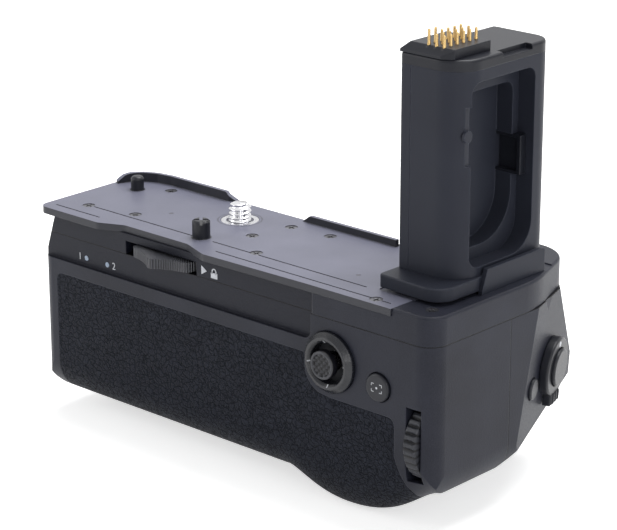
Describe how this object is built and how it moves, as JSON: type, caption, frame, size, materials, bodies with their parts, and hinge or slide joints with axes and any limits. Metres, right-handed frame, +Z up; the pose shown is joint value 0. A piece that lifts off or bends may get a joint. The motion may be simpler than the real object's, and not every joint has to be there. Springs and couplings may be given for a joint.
{
  "type": "camera battery grip",
  "caption": "Vertical battery grip for a camera: deck with attachment screw and locating pins, plug-in contact tower, sliding battery tray, thumb dial, joystick and shutter group.",
  "frame": {"origin": "axis of the attachment screw where it crosses the top of the deck plate", "axes": "+X along the grip to the shutter end, -Y out of the rear face with the thumb controls, +Z up through the deck"},
  "size_m": [0.1448, 0.0778, 0.1297],
  "materials": {
    "shell": "fine textured charcoal",
    "deck": "satin bluish grey paint",
    "rubber": "leather grain",
    "controls": "satin black",
    "tower": "satin charcoal",
    "cap": "satin black",
    "steel": "machined",
    "chrome": "polished",
    "dark_screw": "black oxide",
    "gold": "gold plated",
    "white": "satin white",
    "board": "printed board",
    "lens": "frosted pale blue"
  },
  "bodies": {
    "grip": {"rear_housing": "shell", "front_housing": "shell", "upper_housing": "shell", "deck_plate": "deck", "rear_rubber": "rubber", "front_rubber": "rubber", "deck_screws": "dark_screw", "body_screws": "dark_screw", "base_screws": "dark_screw", "tower_screws": "dark_screw", "locating_pin_left": "controls", "locating_pin_rear": "controls", "screw_washer": "steel", "wheel_axle": "steel", "tower_flange": "tower", "tower_foot": "tower", "tower_gasket": "rubber", "tower_shell": "tower", "tower_cover": "tower", "tower_liner": "tower", "cover_snap": "controls", "tower_cap": "cap", "contact_block": "cap", "contact_barrels": "gold", "tower_board": "board", "stick_ring": "controls", "stick_boot": "rubber", "stick_socket": "controls", "thumb_board": "board", "rear_dial_axle": "steel", "front_dial_axle": "steel", "charge_lights": "lens", "shutter_board": "board", "main_board": "board", "board_posts": "shell", "base_plate": "shell", "base_sole": "rubber", "tripod_socket": "steel", "battery_contacts": "gold"},
    "screw": {"attachment_screw": "steel", "screw_gear": "white"},
    "lock_wheel": {"lock_wheel": "controls"},
    "contact_pins": {"contact_pins": "gold"},
    "stick_frame": {"stick_frame": "steel"},
    "stick_stem": {"stick_stem": "steel"},
    "stick_cap": {"stick_cap": "controls"},
    "focus_button": {"focus_button": "controls"},
    "rear_dial": {"rear_dial": "rubber"},
    "front_dial": {"front_dial": "rubber"},
    "shutter_lever": {"shutter_lever": "controls"},
    "shutter_button": {"shutter_button": "controls"},
    "function_button": {"function_button": "controls"},
    "tray": {"battery_tray": "cap", "tray_door": "shell"},
    "tray_latch": {"tray_latch": "controls"}
  },
  "joints": [
    {"name": "lock_wheel_turn", "type": "hinge", "parent": "grip", "child": "lock_wheel", "pos_m": [-0.0045, -0.0165, -0.006], "axis": [0, 0, 1], "continuous": true},
    {"name": "screw_turn", "type": "hinge", "parent": "grip", "child": "screw", "pos_m": [0, 0, 0], "axis": [0, 0, 1], "continuous": true},
    {"name": "contact_press", "type": "slide", "parent": "grip", "child": "contact_pins", "axis": [0, 0, -1], "range_m": [0, 0.001], "stiffness_N_per_m": 400},
    {"name": "stick_nod", "type": "hinge", "parent": "grip", "child": "stick_frame", "pos_m": [0.0586, -0.0214, -0.0196], "axis": [1, 0, 0], "range_deg": [-7, 7], "stiffness_Nm_per_rad": 0.02},
    {"name": "stick_swing", "type": "hinge", "parent": "stick_frame", "child": "stick_stem", "pos_m": [0.0586, -0.0214, -0.0196], "axis": [0, 0, 1], "range_deg": [-7, 7], "stiffness_Nm_per_rad": 0.02},
    {"name": "stick_press", "type": "slide", "parent": "stick_stem", "child": "stick_cap", "axis": [0, 1, 0], "range_m": [0, 0.0005], "stiffness_N_per_m": 500},
    {"name": "focus_press", "type": "slide", "parent": "grip", "child": "focus_button", "axis": [0, 1, 0], "range_m": [0, 0.0005], "stiffness_N_per_m": 400},
    {"name": "rear_dial_turn", "type": "hinge", "parent": "grip", "child": "rear_dial", "pos_m": [0.0865, -0.0184, -0.0358], "axis": [1, 0, 0], "continuous": true},
    {"name": "front_dial_turn", "type": "hinge", "parent": "grip", "child": "front_dial", "pos_m": [0.048, 0.0238, -0.019], "axis": [1, 0, 0], "continuous": true},
    {"name": "lever_turn", "type": "hinge", "parent": "grip", "child": "shutter_lever", "pos_m": [0.08702, 0.02867, -0.02899], "axis": [0.9487, 0.3083, -0.0698], "range_deg": [0, 40]},
    {"name": "shutter_press", "type": "slide", "parent": "grip", "child": "shutter_button", "axis": [-0.9487, -0.3083, 0.0698], "range_m": [0, 0.0007], "stiffness_N_per_m": 600},
    {"name": "function_press", "type": "slide", "parent": "grip", "child": "function_button", "axis": [-0.9487, -0.3083, 0.0698], "range_m": [0, 0.0005], "stiffness_N_per_m": 400},
    {"name": "tray_slide", "type": "slide", "parent": "grip", "child": "tray", "axis": [-1, 0, 0], "range_m": [0, 0.06]},
    {"name": "latch_turn", "type": "hinge", "parent": "tray", "child": "tray_latch", "pos_m": [-0.0482, 0.008, -0.0202], "axis": [-1, 0, 0], "range_deg": [0, 90]}
  ],
  "couplings": [
    {"joint": "screw_turn", "follows": "lock_wheel_turn", "ratio": -0.72727}
  ]
}
